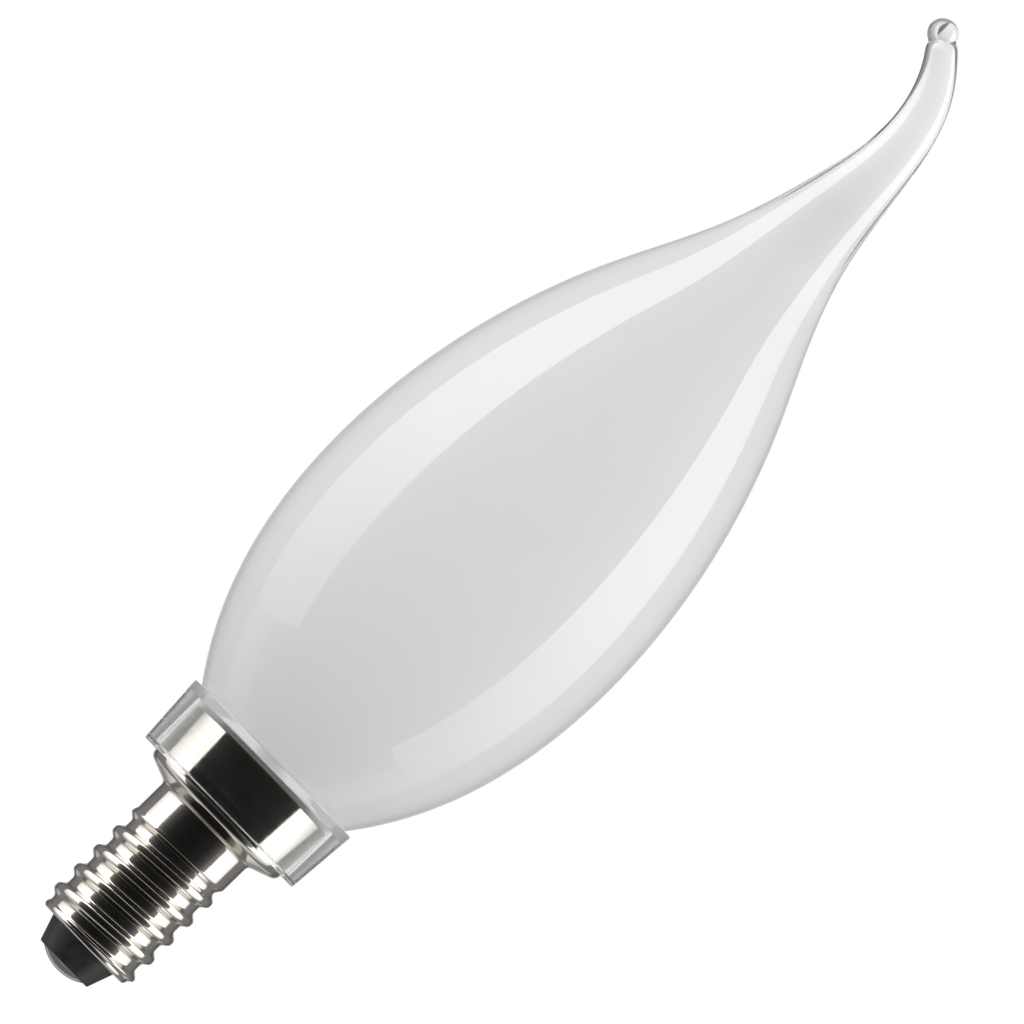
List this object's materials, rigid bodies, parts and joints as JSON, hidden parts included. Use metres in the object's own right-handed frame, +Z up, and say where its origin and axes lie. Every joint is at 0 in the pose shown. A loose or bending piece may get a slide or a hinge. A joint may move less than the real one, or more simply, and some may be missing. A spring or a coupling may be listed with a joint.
{
  "type": "candle bulb",
  "caption": "Frosted candle bulb with a bent flame tip, a clear plastic collar and a plated screw cap with a black insulator and a domed end contact.",
  "frame": {"origin": "lowest point of the end contact, on the bulb's axis", "axes": "+Z up the bulb's axis from the contact to the tip; the bent tip leans towards -X; +Y completes the right-handed set"},
  "size_m": [0.035, 0.035, 0.1225],
  "materials": {
    "frosted_glass": "clear gloss outside over a fine white frosting inside",
    "clear_plastic": "clear, polished",
    "plated_shell": "bright nickel plate",
    "black_insulator": "satin black, moulded",
    "contact_metal": "bright nickel plate"
  },
  "bodies": {
    "root": {"glass_envelope": "frosted_glass", "clear_collar": "clear_plastic", "screw_shell": "plated_shell", "insulator": "black_insulator", "end_contact": "contact_metal"}
  },
  "joints": []
}
